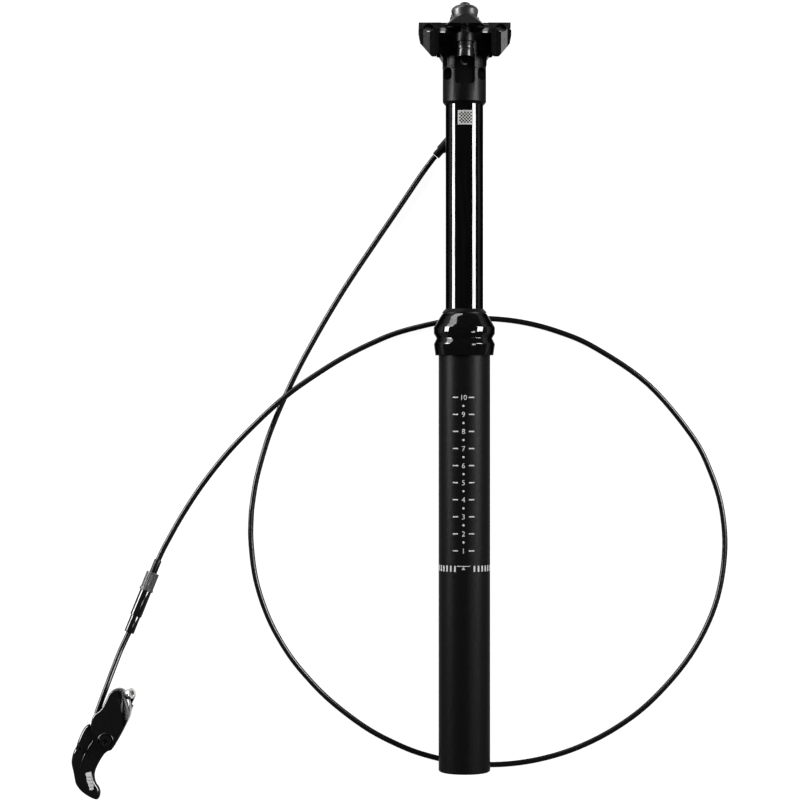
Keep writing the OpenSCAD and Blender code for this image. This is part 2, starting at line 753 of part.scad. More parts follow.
// Front view and plan of one hanging wing, meeting as a solid with upright facets and a rising underside
module wing(side) {
    half = cradle_len / 2;
    plan = [[wing_in, half - facet_end[0]], [wing_in + facet_in[0], half - facet_in[1]],
        [wing_in + facet_mid, half],
        [wing_out - facet_out[0], half - facet_out[1]], [wing_out, half - facet_end[1]]];
    mirror([side > 0 ? 0 : 1, 0, 0]) intersection() {
        translate([0, wing_lo, half]) rotate([wing_rise, 0, 0])
            translate([0, 0, -cut_l]) linear_extrude(height = 2 * cut_l)
                polygon([[wing_in - wing_rim, wing_toe[1]], [wing_in, wing_toe[1]],
                    [wing_in + wing_toe[0], 0], [wing_in + wing_foot, 0],
                    [wing_out - wing_cut[0], wing_cut[1]], [wing_out, wing_edge],
                    [wing_out + wing_rim, wing_edge], [wing_out + wing_rim, cut_l],
                    [wing_in - wing_rim, cut_l]]);
        translate([0, wing_top, 0]) rotate([90, 0, 0]) linear_extrude(height = cut_l)
            polygon(concat(plan, [for (i = [len(plan) - 1:-1:0]) [plan[i][0], -plan[i][1]]]));
    }
}

// Grooves of the two saddle rails
module rail_cuts() {
    for (s = [-1, 1])
        translate([s * rail_gap / 2, rail_y, -cut_l / 2]) cylinder(d = rail_d, h = cut_l);
}

module cradle() {
    color(satin) difference() {
        union() {
            intersection() {
                translate([-wing_in - 1, tilt_y - seat_r, -saddle_z])
                    cube([2 * wing_in + 2, saddle_top - tilt_y + seat_r, 2 * saddle_z]);
                rod_x(seat_r - seat_gap, cut_l, tilt_y, 0);
            }
            for (s = [-1, 1]) wing(s);
        }
        rail_cuts();
    }
}

// Bell over one barrel nut: a round cap on a skirt, cut flat in front
module bell(side) {
    intersection() {
        at_bolt(side) rotate_extrude() polygon(concat([[0, -bell_top]],
            [for (a = [0:bell_step:90]) [bell_r - bell_round + bell_round * sin(a),
                bell_round - bell_top - bell_round * cos(a)]],
            [[bell_r, bell_flare - bell_drop], [bell_r + bell_lip, bell_flare], [bell_foot_r, bell_foot],
                [0, bell_foot]]));
        translate([-cut_l / 2, tilt_y - cut_l / 2, -bell_front]) cube([cut_l, cut_l, 2 * bell_front]);
    }
}

module upper_clamp() {
    color(black) difference() {
        union() {
            translate([-wing_out, arm_lo, arm_back]) cube([cradle_w, arm_hi - arm_lo, arm_front - arm_back]);
            for (s = [-1, 1])
                translate([s > 0 ? arm_in : -wing_out, arm_lo, arm_tail])
                    cube([wing_out - arm_in, arm_t, arm_front - arm_tail]);
            translate([-bridge_x, arm_lo, -bridge_z]) cube([2 * bridge_x, bridge_h, 2 * bridge_z]);
            for (s = [-1, 1]) bell(s);
        }
        rail_cuts();
        for (s = [-1, 1]) {
            rod_x(nut_bore, nut_bore_l, nut_y, s * nut_z);
            at_bolt(s) translate([-lug_slot_w / 2, -lug_slot_l / 2, -cut_l / 2])
                cube([lug_slot_w, lug_slot_l, cut_l]);
        }
    }
}

module barrel_nut(side) {
    color(steel) difference() {
        rod_x(nut_d / 2, nut_len, nut_y, side * nut_z);
        at_bolt(side) translate([0, 0, -cut_l / 2]) cylinder(r = nut_hole_r, h = cut_l);
    }
}

module front_nut() {
    barrel_nut(1);
}

module rear_nut() {
    barrel_nut(-1);
}

module rocker() {
    color(alloy) difference() {
        union() {
            rod_x(rock_hub_r, rock_w, rock_y, rock_z);
            rod_x(rock_nose_r, rock_w, rock_nose_y, 0);
            translate([-rock_w / 2, rock_arm_lo, rock_end]) cube([rock_w, rock_arm_h, rock_z - rock_end]);
        }
        rod_x(rock_pin_r + run_gap, cut_l, rock_y, rock_z);
        rod_x(nipple_r, cut_l, nipple_y, nipple_z);
        translate([0, rock_arm_lo - 1, nipple_z]) along_y() cylinder(r = wire_d, h = rock_hole_l);
    }
}

module rocker_pin() {
    color(steel) rod_x(rock_pin_r, rock_pin_len, rock_y, rock_z);
}

module wire_nipple() {
    color(brass) rod_x(nipple_r, rock_w, nipple_y, nipple_z);
}

module head_wire() {
    color(steel) translate([0, boot_pts[0][1], entry_z]) rotate([-90, 0, 0])
        cylinder(d = wire_d, h = nipple_y - nipple_r - boot_pts[0][1], $fn = small_fn);
}

module cable_boot() {
    color(rubber) tube_along(boot_pts, boot_d / 2 - boot_fit, boot_sides);
}

module head_ferrule() {
    p = [boot_end, boot_end + head_ferrule_l * unit(head_pts[0] - boot_end)];
    color(alloy) tube_along(p, head_ferrule_r, boot_sides);
}

module hose_head() {
    lead = unit(head_pts[0] - boot_end);
    start = boot_end + (head_ferrule_l + hose_gap) * lead;
    p = concat([start, start + hose_d * lead], [for (i = [1:len(head_pts) - 1]) head_pts[i]]);
    color(black) tube_along(smooth_path(p, hose_steps), hose_d / 2, hose_sides);
}

module hose_loop() {
    color(black) tube_along(smooth_path(loop_pts, hose_steps), hose_d / 2, hose_sides);
}

module hose_lever() {
    echo(cable_length = path_len(smooth_path(head_pts, hose_steps))
        + path_len(smooth_path(loop_pts, hose_steps))
        + adj_len + path_len(smooth_path(lever_pts, hose_steps)));
    color(black) tube_along(smooth_path(lever_pts, hose_steps), hose_d / 2, hose_sides);
}

module adjuster_ferrule() {
    color(alloy) at_adjuster() cylinder(r = ferrule_r, h = ferrule_l);
}

module adjuster_knob() {
    flute_r = 0.7;
    color(satin) at_adjuster() translate([0, 0, ferrule_l]) difference() {
        union() {
            cylinder(d = knob_d - knob_step, h = knob_l - knob_lip + tiny);
            translate([0, 0, knob_l - knob_lip]) cylinder(d = knob_d, h = knob_lip);
        }
        for (k = [0:knob_flutes - 1])
            rotate([0, 0, 360 * k / knob_flutes]) translate([knob_d / 2, 0, flute_lo])
                cylinder(r = flute_r, h = knob_l - knob_lip - flute_end, $fn = small_fn);
    }
}

module adjuster_sleeve() {
    color(black) at_adjuster() translate([0, 0, ferrule_l + knob_l]) cylinder(r = sleeve_r, h = sleeve_l);
}

module adjuster_tail() {
    tail_at = ferrule_l + knob_l + sleeve_l;
    color(black) at_adjuster() translate([0, 0, tail_at]) cylinder(r = tail_r, h = adj_len - tail_at);
}

module bar_clamp() {
    pad_y = pod_lo - ring_c[2];
    pad_bottom = 6;
    color(satin) at_bar() difference() {
        union() {
            translate([0, 0, -ring_w / 2]) cylinder(d = ring_d, h = ring_w);
            translate([bar_d / 2 - 1, -lug_h / 2, -lug_w / 2]) cube([lug_out - bar_d / 2 + 1, lug_h, lug_w]);
            translate([pad_lo, pad_bottom, -ring_w / 2]) cube([pad_hi - pad_lo, pad_y - pad_bottom, ring_w]);
        }
        translate([0, 0, -cut_l / 2]) cylinder(d = bar_d, h = cut_l);
        translate([0, -split_w / 2, -cut_l / 2]) cube([cut_l, split_w, cut_l]);
        translate([bar_bolt_x, cut_l / 2, 0]) rotate([90, 0, 0]) cylinder(r = bar_bolt_r, h = cut_l);
    }
}

module bar_bolt() {
    color(steel) at_bar() translate([bar_bolt_x, lug_h / 2, 0]) rotate([90, 0, 0]) difference() {
        union() {
            cylinder(r = bar_bolt_r, h = lug_h + tiny);
            translate([0, 0, lug_h]) cylinder(r = bar_bolt_head_r, h = bar_bolt_head_h);
        }
        translate([0, 0, lug_h + bar_bolt_head_h / 2]) cylinder(d = bar_key / cos(30), h = cut_l, $fn = 6);
    }
}

// Local +Z runs from the housing's stop back along the housing
module at_stop() {
    translate(stop_end)
        rotate([0, acos(stop_vec[2] / norm(stop_vec)), atan2(stop_vec[1], stop_vec[0])]) children();
}

// Local +Z runs out of the pod bolt's head
module at_pod_bolt() {
    translate(pod_bolt_c) rotate([0, pod_bolt_tip, pod_bolt_turn]) children();
}

module lever_pod() {
    top = pod_hi - pod_mid_hi;
    color(black) difference() {
        union() {
            translate([0, 0, pod_lo]) linear_extrude(height = pod_mid_lo - pod_lo) polygon(pod_outline);
            translate([0, 0, pod_lo]) linear_extrude(height = pod_hi - pod_lo) polygon(spine_outline);
            translate([0, 0, pod_mid_hi]) linear_extrude(height = top) polygon(pod_outline);
        }
        translate(pivot_c) cylinder(d = pivot_d, h = cut_l);
        at_stop() cylinder(r = hose_d / 2 + run_gap, h = stop_bore);
        translate(stop_end) rotate([0, 0, wire_turn]) along_x() cylinder(r = wire_d, h = wire_span, $fn = 24);
        at_pod_bolt() rotate_extrude() polygon([[0, -pod_hole_l], [pod_bolt_r, -pod_hole_l],
            [pod_bolt_r, -pod_bolt_head_h], [pod_seat_r, -pod_bolt_head_h], [pod_seat_r, cut_l], [0, cut_l]]);
        translate(pod_slope_at) rotate([0, pod_slope, pod_slope_turn])
            translate([-cut_l / 2, -cut_l / 2, 0]) cube(cut_l);
        translate([pivot_c[0] + spring_r, pivot_c[1], pod_mid_hi - 1])
            cylinder(r = spring_leg_r, h = top, $fn = 24);
    }
}

module pod_bolt() {
    color(steel) at_pod_bolt() difference() {
        union() {
            translate([0, 0, -pod_bolt_head_h - pod_bolt_l]) cylinder(r = pod_bolt_r, h = pod_bolt_l + tiny);
            translate([0, 0, -pod_bolt_head_h]) cylinder(r = pod_bolt_head_r, h = pod_bolt_head_h);
        }
        translate([0, 0, -pod_bolt_head_h / 2]) cylinder(d = pod_key / cos(30), h = pod_bolt_head_h, $fn = 6);
    }
}

module thumb_lever() {
    color(black) difference() {
        union() {
            translate([0, 0, lever_lo]) linear_extrude(height = lever_hi - lever_lo) polygon(lever_outline);
            translate([0, 0, paddle_lo])
                linear_extrude(height = lever_hi - paddle_lo) polygon(paddle_outline);
        }
        translate(pivot_c) cylinder(r = bush_r, h = cut_l);
        translate([pivot_c[0], pivot_c[1], spring_seat_lo]) cylinder(r = spring_seat_r, h = cut_l);
        translate([pivot_c[0] + spring_r, pivot_c[1], 0]) cylinder(r = spring_leg_r, h = cut_l, $fn = 24);
        translate(anchor_c) cylinder(r = anchor_r, h = cut_l);
        translate([stop_end[0], stop_end[1], wire_slot_lo]) rotate([0, 0, wire_turn])
            translate([0, -wire_slot_w / 2, 0]) cube([wire_span - anchor_r, wire_slot_w, cut_l]);
        translate([0, 0, grip_lo]) linear_extrude(height = cut_l) polygon(grip_outline);
    }
}

module grip_insert() {
    rib_w = 0.9;
    rib_l = 2.4;
    rib_step = 2;
    rib_a = [-227.9, -0.8];
    rib_turn = -78;
    color(alloy) {
        translate([0, 0, grip_lo]) linear_extrude(height = grip_hi - grip_lo) polygon(grip_outline);
        translate([rib_a[0], rib_a[1], grip_hi - tiny]) rotate([0, 0, rib_turn])
            for (k = [0:grip_ribs - 1])
                translate([k * rib_step, -rib_l / 2, 0]) cube([rib_w, rib_l, grip_rib_h]);
    }
}

module pivot_bolt() {
    color(steel) translate(pivot_c) difference() {
        union() {
            translate([0, 0, pod_lo]) cylinder(d = pivot_d, h = pod_hi - pod_lo + tiny);
            translate([0, 0, pod_hi]) cylinder(r = pivot_head_r, h = pivot_head_h);
        }
        translate([0, 0, pod_hi + pivot_key_floor]) cylinder(d = pivot_key / cos(30), h = cut_l, $fn = 6);
    }
}

module pivot_bush() {
    color(brass) translate([pivot_c[0], pivot_c[1], lever_lo - bush_end]) difference() {
        cylinder(r = bush_r, h = lever_hi - lever_lo + 2 * bush_end);
        translate([0, 0, -1]) cylinder(r = pivot_d / 2 + run_gap, h = cut_l);
    }
}

function coil_point(a, z) = [pivot_c[0] + spring_r * cos(a), pivot_c[1] + spring_r * sin(a), z];

module lever_spring() {
    echo(lever_spring_least_gap = coil_gap);
    color(steel) tube_along(coil_path, spring_wire / 2, spring_sides);
}

module anchor_screw() {
    color(steel) translate(anchor_c) difference() {
        union() {
            translate([0, 0, anchor_lo]) cylinder(r = anchor_r, h = lever_hi - anchor_lo + tiny);
            translate([0, 0, lever_hi]) cylinder(r = anchor_head_r, h = anchor_head_h);
        }
        translate([0, 0, lever_hi + anchor_head_h / 2]) cylinder(d = anchor_key / cos(30), h = cut_l, $fn = 6);
    }
}

module lever_wire() {
    color(steel) translate(stop_end) rotate([0, 0, wire_turn]) along_x()
        cylinder(d = wire_d, h = wire_span - anchor_r, $fn = small_fn);
}

outer_tube();
collar();
wiper_seal();
upper_bush();
neck_oring();
bottom_cap();
cap_ring();
bumper();
foot_bolt();
piston_rod();
piston();
stanchion();
lower_bush();
guide_keys();
snap_ring();
rod_gland();
cartridge_tube();
valve_head();
plunger();
saddle_head();
clamp_bolts();
bolt_washers();
cradle();
upper_clamp();
front_nut();
rear_nut();
rocker();
rocker_pin();
wire_nipple();
head_wire();
cable_boot();
head_ferrule();
hose_head();
hose_loop();
adjuster_ferrule();
adjuster_knob();
adjuster_sleeve();
adjuster_tail();
hose_lever();
bar_clamp();
bar_bolt();
lever_pod();
pod_bolt();
thumb_lever();
grip_insert();
pivot_bolt();
pivot_bush();
lever_spring();
anchor_screw();
lever_wire();
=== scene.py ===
"""Looks, light and camera for the dropper seatpost with its cable remote."""
import json
import math

import bmesh
import bpy
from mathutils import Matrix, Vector
from mathutils.kdtree import KDTree


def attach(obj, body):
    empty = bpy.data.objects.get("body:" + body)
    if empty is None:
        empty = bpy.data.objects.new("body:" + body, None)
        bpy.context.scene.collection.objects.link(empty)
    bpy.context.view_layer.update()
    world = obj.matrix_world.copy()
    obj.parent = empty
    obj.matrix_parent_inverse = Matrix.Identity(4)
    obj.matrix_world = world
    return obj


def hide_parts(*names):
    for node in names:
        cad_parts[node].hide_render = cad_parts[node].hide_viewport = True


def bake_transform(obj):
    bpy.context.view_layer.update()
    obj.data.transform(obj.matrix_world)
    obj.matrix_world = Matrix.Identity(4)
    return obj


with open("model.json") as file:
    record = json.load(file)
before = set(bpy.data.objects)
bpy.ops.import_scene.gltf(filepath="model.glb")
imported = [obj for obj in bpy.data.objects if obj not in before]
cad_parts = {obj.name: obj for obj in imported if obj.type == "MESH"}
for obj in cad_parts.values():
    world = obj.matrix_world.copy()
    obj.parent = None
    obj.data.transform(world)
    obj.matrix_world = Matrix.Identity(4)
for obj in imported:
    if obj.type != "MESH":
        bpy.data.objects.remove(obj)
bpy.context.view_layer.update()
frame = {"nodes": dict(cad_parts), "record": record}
MM = 0.001
NODES = frame["nodes"]
SLOT_OF = {s["node"]: s["material_slot"] for s in frame["record"]["subparts"]}


# Camera, floor and light, in metres

CAMERA_AT = (-0.0394, 0.2264, 1.45)
FLOOR_Z = -20.6 * MM
FLOOR_HALF = 3.0
FLOOR_GLOW = 0.96
# Name, place, point that it faces, width and height, watts
SOFTBOXES = [
    ("light_left", (-1.5, 0.86, 0.49), (0, 0.86, 0.0), (1.3, 0.5), 225),
    ("light_right", (1.5, 0.86, 0.88), (0, 0.86, 0.0), (1.3, 0.66), 290),
    ("light_remote", (0.95, 0.07, 1.5), (-0.22, 0.03, 0.0), (0.24, 0.4), 11),
    ("light_head", (-1.0, 1.55, 0.29), (0, 0.35, 0.0), (1.8, 0.54), 64),
]
# Sky colours by height, from level at 0 to straight up at 1
SKY = [(0.02, (0.30, 0.30, 0.305, 1)), (0.55, (0.2, 0.2, 0.205, 1))]


def add_camera():
    """Camera that looks straight down."""
    data = bpy.data.cameras.new("camera")
    data.lens = 106.66
    data.sensor_width = 36.0
    data.clip_end = 20.0
    cam = bpy.data.objects.new("camera", data)
    cam.location = CAMERA_AT
    bpy.context.collection.objects.link(cam)
    bpy.context.scene.camera = cam


def softbox(name, at, look, size, power):
    """Rectangular lamp that faces a point."""
    data = bpy.data.lights.new(name, "AREA")
    data.shape = "RECTANGLE"
    data.size, data.size_y = size
    data.energy = power
    lamp = bpy.data.objects.new(name, data)
    lamp.location = at
    lamp.rotation_euler = (Vector(look) - Vector(at)).to_track_quat("-Z", "Y").to_euler()
    bpy.context.collection.objects.link(lamp)


def add_light():
    """The softboxes and a grey sky."""
    for box in SOFTBOXES:
        softbox(*box)
    bpy.context.scene.view_settings.view_transform = "Standard"
    world = bpy.data.worlds.new("studio")
    bpy.context.scene.world = world
    world.use_nodes = True
    tree = world.node_tree
    coord = tree.nodes.new("ShaderNodeTexCoord")
    split = tree.nodes.new("ShaderNodeSeparateXYZ")
    ramp = tree.nodes.new("ShaderNodeValToRGB")
    for stop, (height, color) in zip(ramp.color_ramp.elements, SKY):
        stop.position = height
        stop.color = color
    tree.links.new(coord.outputs["Generated"], split.inputs[0])
    tree.links.new(split.outputs["Z"], ramp.inputs[0])
    tree.links.new(ramp.outputs[0], tree.nodes["Background"].inputs["Color"])


def add_floor():
    """Pale floor that glows a little below white."""
    mesh = bpy.data.meshes.new("floor")
    h = FLOOR_HALF
    corners = [(-h, -h, FLOOR_Z), (h, -h, FLOOR_Z), (h, h, FLOOR_Z), (-h, h, FLOOR_Z)]
    mesh.from_pydata(corners, [], [(0, 1, 2, 3)])
    floor = bpy.data.objects.new("floor", mesh)
    bpy.context.collection.objects.link(floor)
    m = bpy.data.materials.new("floor_pale")
    m.use_nodes = True
    b = m.node_tree.nodes["Principled BSDF"]
    b.inputs["Base Color"].default_value = (0.04, 0.04, 0.04, 1)
    b.inputs["Roughness"].default_value = 0.9
    b.inputs["Specular IOR Level"].default_value = 0.1
    b.inputs["Emission Color"].default_value = (1, 1, 1, 1)
    b.inputs["Emission Strength"].default_value = FLOOR_GLOW
    mesh.materials.append(m)


# Materials

LEAST_ROUGH = 0.02
RELIEF_DEPTH = 0.2 * MM
# Blue of a dark finish over its red and green
BLUE_SHARE = 1.02
# Share of the unshaded half-width over which the painted shade fades in, and the edge reflection left
# beyond it as painted shade
ARM_SHADE_FADE = 0.05
ARM_SHADE_EDGE = 0.04


def surface(name, color, rough, metallic=0.0, spec=0.4, tint=0.3, grain=1500.0, rough_var=0.06,
            bump=0.05, bump_scale=2600.0, stretch=(1, 1, 1), edge=1.0, core=None):
    """Principled surface whose colour, gloss and relief vary with two scales of noise.

    With core, faces farther than that from the plane x = 0 lose their edge reflection, a painted shade that
    darkens the clamp's arms over the rail channels.
    """
    m = bpy.data.materials.new(name)
    m.use_nodes = True
    tree = m.node_tree
    new = tree.nodes.new
    link = tree.links.new
    b = tree.nodes["Principled BSDF"]
    b.inputs["Metallic"].default_value = metallic
    b.inputs["Specular IOR Level"].default_value = spec
    b.inputs["Specular Tint"].default_value = (edge, edge, edge, 1)
    coord = new("ShaderNodeTexCoord")
    mapping = new("ShaderNodeMapping")
    mapping.inputs["Scale"].default_value = stretch
    link(coord.outputs["Object"], mapping.inputs["Vector"])
    fine = new("ShaderNodeTexNoise")
    fine.inputs["Scale"].default_value = bump_scale
    fine.inputs["Detail"].default_value = 3.0
    broad = new("ShaderNodeTexNoise")
    broad.inputs["Scale"].default_value = grain
    broad.inputs["Detail"].default_value = 5.0
    for n in (fine, broad):
        link(mapping.outputs["Vector"], n.inputs["Vector"])
    ramp = new("ShaderNodeValToRGB")
    ramp.color_ramp.elements[0].position = 0.3
    ramp.color_ramp.elements[0].color = (*[c * (1 - tint) for c in color], 1)
    ramp.color_ramp.elements[1].position = 0.7
    ramp.color_ramp.elements[1].color = (*[min(1.0, c * (1 + tint)) for c in color], 1)
    link(broad.outputs["Fac"], ramp.inputs["Fac"])
    link(ramp.outputs["Color"], b.inputs["Base Color"])
    spread = new("ShaderNodeMapRange")
    spread.inputs["To Min"].default_value = max(LEAST_ROUGH, rough - rough_var)
    spread.inputs["To Max"].default_value = rough + rough_var
    link(broad.outputs["Fac"], spread.inputs["Value"])
    link(spread.outputs["Result"], b.inputs["Roughness"])
    # Painted shade: the edge reflection is damped on faces far from the plane x = 0, so the clamp's arms
    # over the rail channels look dark
    if core:
        split = new("ShaderNodeSeparateXYZ")
        away = new("ShaderNodeMath")
        away.operation = "ABSOLUTE"
        arm_shade = new("ShaderNodeMapRange")
        arm_shade.inputs["From Min"].default_value = core * (1 - ARM_SHADE_FADE)
        arm_shade.inputs["From Max"].default_value = core * (1 + ARM_SHADE_FADE)
        arm_shade.inputs["To Min"].default_value = edge
        arm_shade.inputs["To Max"].default_value = ARM_SHADE_EDGE
        link(coord.outputs["Object"], split.inputs[0])
        link(split.outputs["X"], away.inputs[0])
        link(away.outputs[0], arm_shade.inputs["Value"])
        link(arm_shade.outputs["Result"], b.inputs["Specular Tint"])
    relief = new("ShaderNodeBump")
    relief.inputs["Strength"].default_value = bump
    relief.inputs["Distance"].default_value = RELIEF_DEPTH
    link(fine.outputs["Fac"], relief.inputs["Height"])
    link(relief.outputs["Normal"], b.inputs["Normal"])
    return m


def black(name, reflect, rough, edge, metal=0.9, **more):
    """Dark finish that mirrors a small share of the light, damped at its edges, and absorbs the rest."""
    base = reflect / metal
    color = (base, base, base * BLUE_SHARE)
    return surface(name, color, rough, metallic=metal, spec=0.0, edge=edge, **more)


MATERIALS = {
    "tube_black": black("tube_black", reflect=0.0015, rough=0.35, edge=0.55, metal=0.68, bump=0.2,
                        bump_scale=5200, rough_var=0.04),
    "gloss_black": black("gloss_black", reflect=0.013, rough=0.05, edge=0.38, metal=0.985, bump=0.015,
                         grain=700, rough_var=0.02),
    "stanchion_black": black("stanchion_black", reflect=0.011, rough=0.04, edge=0.33, metal=0.99,
                             bump=0.01, grain=500, rough_var=0.015, stretch=(1, 0.08, 1)),
    "alloy_black": black("alloy_black", reflect=0.004, rough=0.34, edge=0.5, bump=0.12),
    "black_steel": black("black_steel", reflect=0.008, rough=0.26, edge=0.5, bump=0.1),
    "steel": surface("steel", (0.3, 0.3, 0.31), rough=0.28, metallic=1.0, bump=0.1, tint=0.12),
    "bright_steel": surface("bright_steel", (0.5, 0.5, 0.49), rough=0.2, metallic=1.0, bump=0.08,
                            tint=0.1),
    "alloy": surface("alloy", (0.4, 0.41, 0.42), rough=0.3, metallic=1.0, bump=0.1, tint=0.1),
    "brass": surface("brass", (0.5, 0.36, 0.15), rough=0.3, metallic=1.0, bump=0.08, tint=0.12),
    "rubber": black("rubber", reflect=0.003, rough=0.42, edge=0.6, bump=0.3, bump_scale=1800),
    "polymer": surface("polymer", (0.008, 0.008, 0.0084), rough=0.5, spec=0.15, bump=0.15),
    "housing": black("housing", reflect=0.008, rough=0.2, edge=0.5, bump=0.1, bump_scale=3200),
    "gloss_plastic": black("gloss_plastic", reflect=0.013, rough=0.12, edge=0.42, metal=0.95, bump=0.05),
    "knob_plastic": surface("knob_plastic", (0.004, 0.004, 0.0042), rough=0.5, spec=0.15, bump=0.3,
                            bump_scale=3000),
    "satin_black": black("satin_black", reflect=0.0029, rough=0.36, edge=0.5, bump=0.2,
                         bump_scale=4200),
    # Copy of satin_black whose edge reflection is damped, a painted shade that darkens the rail grooves in
    # the cradle
    "cradle_black_groove_shade": black("cradle_black_groove_shade", reflect=0.0029, rough=0.34, edge=0.06, bump=0.2,
                          bump_scale=4200),
    # Painted shade: beyond 14.5 mm from the middle the arms lose their edge reflection, so the rail
    # channels under them look dark
    "clamp_black_arm_shade": black("clamp_black_arm_shade", reflect=0.014, rough=0.3, edge=0.9, bump=0.15, bump_scale=4200,
                         core=14.5 * MM),
    "silver_grip": surface("silver_grip", (0.12, 0.12, 0.118), rough=0.42, metallic=0.25, spec=0.3,
                           bump=0.25, tint=0.15),
}
INK = surface("white_ink", (0.085, 0.085, 0.083), rough=0.55, spec=0.1, bump=0.1, tint=0.15)
LABEL = surface("label_grey", (0.06, 0.06, 0.058), rough=0.5, spec=0.1, bump=0.1, tint=0.2)
# Nodes whose look differs from the finish of their slot
FINISH = {
    # The clamp and the cradle take dark copies with painted shade in their rail channels
    "upper_clamp": "clamp_black_arm_shade",
    "cradle": "cradle_black_groove_shade",
    "saddle_head": "satin_black",
    "grip_insert": "silver_grip",
    "head_ferrule": "gloss_plastic",
    "pivot_bolt": "gloss_plastic",
}
# Edge rounding in millimetres of the machined and cast pieces
EDGES = {"saddle_head": 0.4, "cradle": 0.5, "upper_clamp": 0.4, "bar_clamp": 0.5,
         "collar": 0.15, "pod_bolt": 0.2, "clamp_bolts": 0.2, "adjuster_sleeve": 0.6, "adjuster_tail": 0.6,
         "adjuster_ferrule": 0.4, "pivot_bolt": 0.3, "anchor_screw": 0.3, "grip_insert": 0.2}
# Least angle in degrees between two faces for their edge to be rounded
EDGE_ANGLE = 35
COLLAR_ANGLE = 20


def dress_nodes():
    """Finish of every solid, and rounded edges on those that have them."""
    for name, obj in NODES.items():
        obj.data.materials.clear()
        obj.data.materials.append(MATERIALS[FINISH.get(name, SLOT_OF[name])])
    for name, width in EDGES.items():
        weld = NODES[name].modifiers.new("weld", "WELD")
        weld.merge_threshold = 1e-6
        bevel = NODES[name].modifiers.new("bevel", "BEVEL")
        bevel.width = width * MM
        bevel.segments = 3
        bevel.limit_method = "ANGLE"
        bevel.angle_limit = math.radians(COLLAR_ANGLE if name == "collar" else EDGE_ANGLE)
        bevel.harden_normals = True


# Mesh helpers

PATH_STEPS = 6


def add_mesh(name, verts, faces, material, sharp=40):
    """Mesh object with smooth faces and sharp edges above an angle in degrees."""
    mesh = bpy.data.meshes.new(name)
    mesh.from_pydata([tuple(v) for v in verts], [], faces)
    mesh.validate()
    bm = bmesh.new()
    bm.from_mesh(mesh)
    bmesh.ops.recalc_face_normals(bm, faces=bm.faces)
    bm.to_mesh(mesh)
    bm.free()
    mesh.shade_smooth()
    mesh.set_sharp_from_angle(angle=math.radians(sharp))
    mesh.materials.append(material)
    obj = bpy.data.objects.new(name, mesh)
    bpy.context.collection.objects.link(obj)
    return obj


def ring_faces(rings, n):
    """Faces over a stack of rings of n points each, with both ends closed."""
    faces = []
    for i in range(rings - 1):
        for k in range(n):
            k2 = (k + 1) % n
            faces.append((i * n + k, i * n + k2, (i + 1) * n + k2, (i + 1) * n + k))
    faces.append(tuple(reversed(range(n))))
    faces.append(tuple((rings - 1) * n + k for k in range(n)))
    return faces


def smooth_path(points):
    """Points of a smooth curve in metres through points in millimetres."""
    p = [Vector(q) * MM for q in points]
    out = []
    for i in range(len(p) - 1):
        a, b, c, d = p[max(i - 1, 0)], p[i], p[i + 1], p[min(i + 2, len(p) - 1)]
        for k in range(PATH_STEPS):
            t = k / PATH_STEPS
            square = (2 * a - 5 * b + 4 * c - d) * t ** 2
            cube = (3 * b - a - 3 * c + d) * t ** 3
            out.append(0.5 * (2 * b + (c - a) * t + square + cube))
    return out + [p[-1]]


def tube(name, path, radius, sides, material):
    """Round tube along a path, in metres."""
    n = len(path)
    verts = []
    side = None
    for i, c in enumerate(path):
        t = (path[min(i + 1, n - 1)] - path[max(i - 1, 0)]).normalized()
        if side is None:
            side = t.orthogonal()
        side = (side - t * side.dot(t)).normalized()
        other = t.cross(side)
        for k in range(sides):
            a = 2 * math.pi * k / sides
            verts.append(c + radius * (side * math.cos(a) + other * math.sin(a)))
    return add_mesh(name, verts, ring_faces(n, sides), material)


# Cable housing and the bare ends of the inner wire, with routes in millimetres

LAID_Z = -18.8
HOSE_R = 1.7 * MM
HOSE_SIDES = 16
WIRE_R = 0.59 * MM
WIRE_SIDES = 12


def laid(spots):
    """Route points of housing that lies on the floor."""
    return [(x, y, LAID_Z) for x, y in spots]


HEAD_PTS = [(-17.38, 377.37, -17.85), (-19.61, 374.82, -18.17)] + laid([
    (-26.5, 365.5), (-39.6, 346.1), (-55.5, 322.8), (-71.8, 298.5), (-84.3, 278.2), (-95.9, 257.8),
    (-103.1, 244.2), (-110.3, 229.2), (-116.9, 214), (-122.4, 198.9), (-128.4, 177.1), (-131.4, 158.3)])
LOOP_PTS = laid([
    (-131.4, 158.3), (-131.8, 139.6), (-128.7, 115.1), (-120.9, 91.4), (-109.8, 71.1), (-97.9, 55.7),
    (-82.2, 39.8), (-60.7, 23.5), (-40.8, 12.9), (-23.4, 6.4), (-1, 1.6), (22.6, 0.6), (46.9, 3.8),
    (71.2, 11.3), (95.5, 23.9), (117.7, 41.3), (140.5, 68.2), (155.7, 98.7), (161.7, 130.3),
    (160.1, 158.1), (153, 182), (141.1, 204.8), (114.2, 236.3), (81.8, 258.6), (58.8, 268.7),
    (34.8, 274.9), (10, 277), (-11, 275.3), (-38.7, 268.8)]) + [
    (-57.1, 261.5, -18.4), (-75.4, 252.1, -17.2), (-93.4, 240.7, -15.6), (-109.9, 228.8, -14.7),
    (-127, 213.4, -15.4), (-145.1, 194.8, -16.6), (-160.9, 175.1, -16.8), (-173.8, 155.6, -15.8),
    (-184.4, 136.6, -14.2), (-188.7, 127.6, -13.4)]
LEVER_PTS = [(-205.9, 83.6, -6), (-210.4, 73.5, -2.6), (-214.2, 63, 2.2), (-217.3, 53.8, 7),
             (-220.4, 44.9, 9.7), (-223.4, 36, 12.3)]
HEAD_WIRE_PTS = [(0, 408, -15.8), (0, 415.3, -15.8), (0, 422.6, -15.8)]
LEVER_WIRE_PTS = [(-223.4, 36, 12.3), (-228.0, 26.3, 12.3), (-232.6, 16.6, 12.3)]


